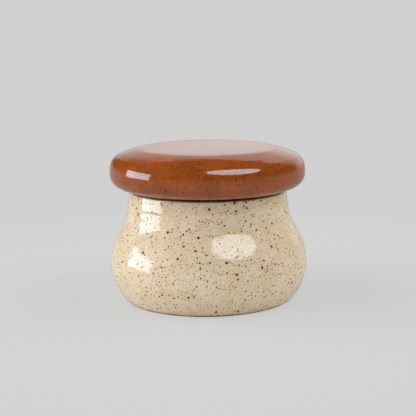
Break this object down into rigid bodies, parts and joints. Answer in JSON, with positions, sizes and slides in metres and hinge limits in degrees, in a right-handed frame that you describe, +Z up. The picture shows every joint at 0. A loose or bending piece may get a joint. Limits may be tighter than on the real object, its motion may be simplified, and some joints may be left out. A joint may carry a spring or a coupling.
{
  "type": "butter keeper",
  "caption": "Lidded stoneware butter keeper: a full-bellied speckled cream pot with a drawn-in neck, shut by a wide, thick, rounded brown lid with a broad, nearly flat top.",
  "frame": {"origin": "centre of the foot, on the surface the pot stands on", "axes": "+Z up along the axis that the pot and the lid were turned about; the keeper is round, so X and Y are free"},
  "size_m": [0.12, 0.12, 0.0921],
  "materials": {
    "cream_glaze": "gloss cream glaze over a speckled stoneware body",
    "brown_glaze": "gloss honey-brown glaze with fine iron specks"
  },
  "bodies": {
    "root": {"pot": "cream_glaze", "lid": "brown_glaze"}
  },
  "joints": []
}
